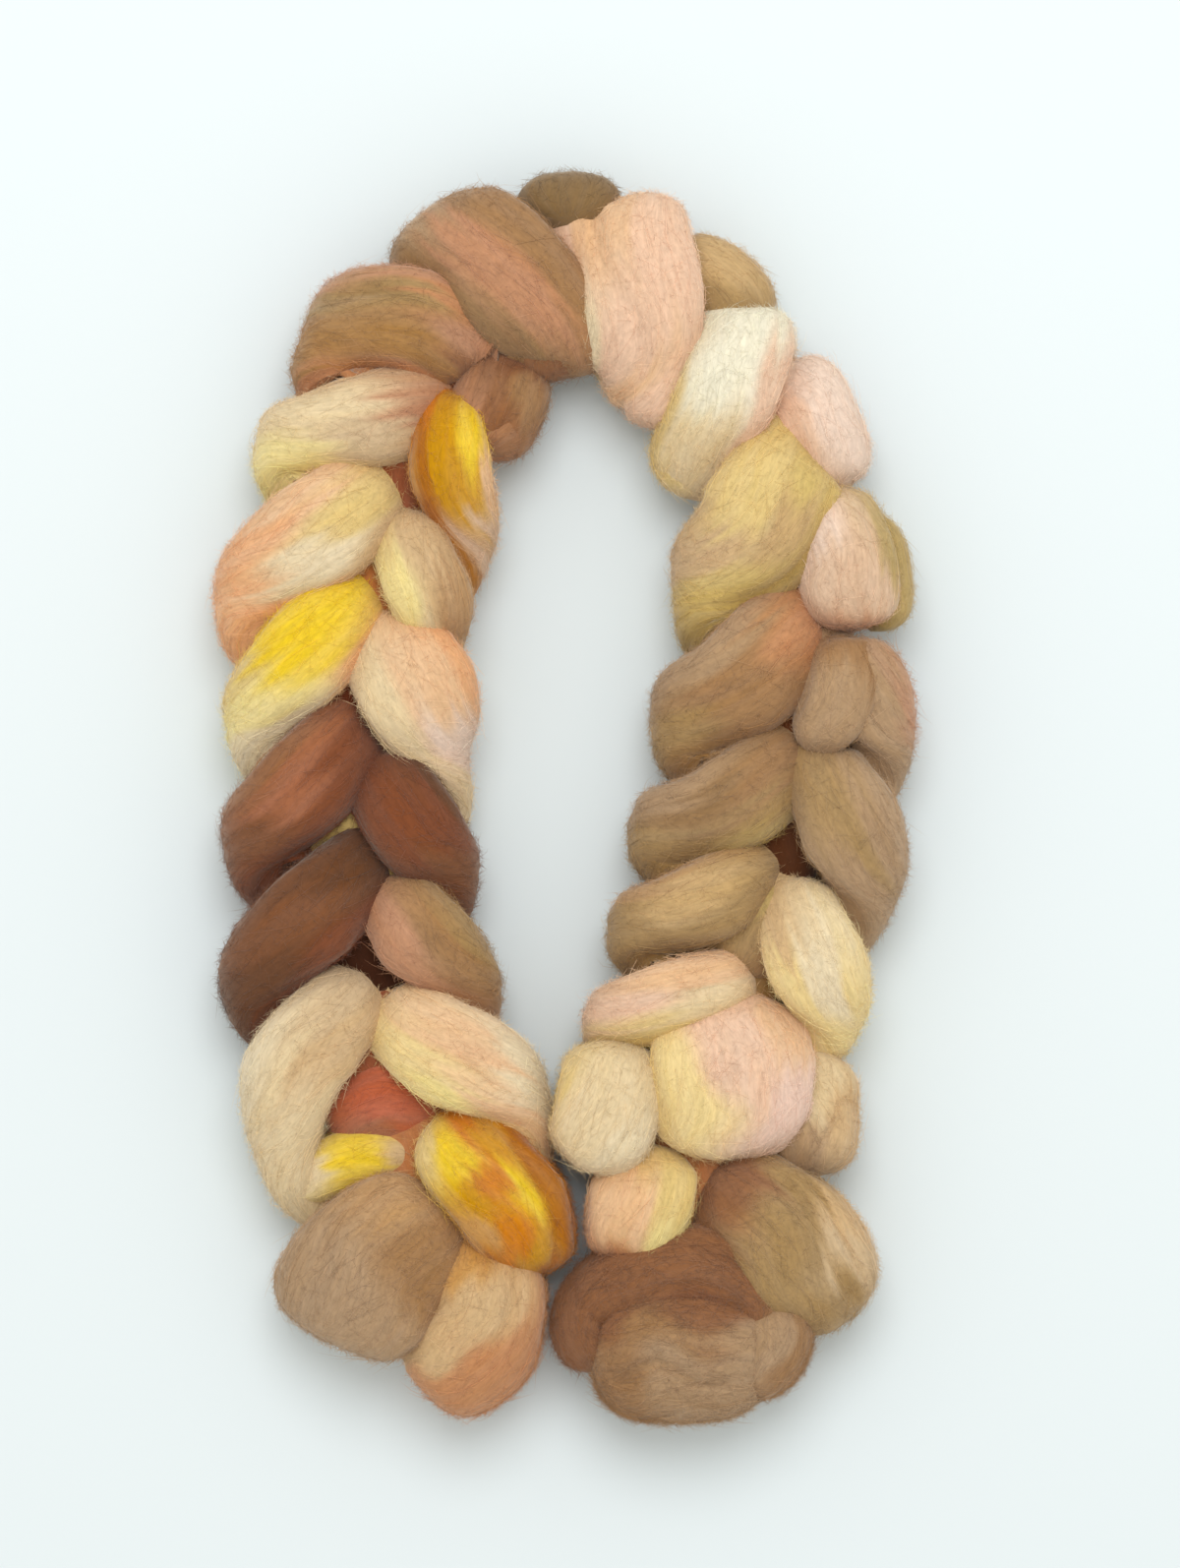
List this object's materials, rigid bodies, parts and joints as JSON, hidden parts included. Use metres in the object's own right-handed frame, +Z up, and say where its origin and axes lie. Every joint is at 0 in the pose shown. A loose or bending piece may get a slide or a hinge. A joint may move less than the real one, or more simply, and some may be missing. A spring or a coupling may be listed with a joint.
{
  "type": "braid of wool roving",
  "caption": "Thick soft braid of hand-dyed combed wool roving, folded into a tall U with both rounded ends together, lying flat.",
  "frame": {"origin": "on the resting plane, below the centre of the braid's box", "axes": "+Z up from the resting plane through the braid's thickness, +Y towards the arch of the U, +X across the two arms"},
  "size_m": [0.2482, 0.4424, 0.0521],
  "materials": {
    "wool": "matte combed wool fibre, hand dyed in soft stretches of cream, peach, yellow, orange and brown"
  },
  "bodies": {
    "root": {"braid": "wool"}
  },
  "joints": []
}
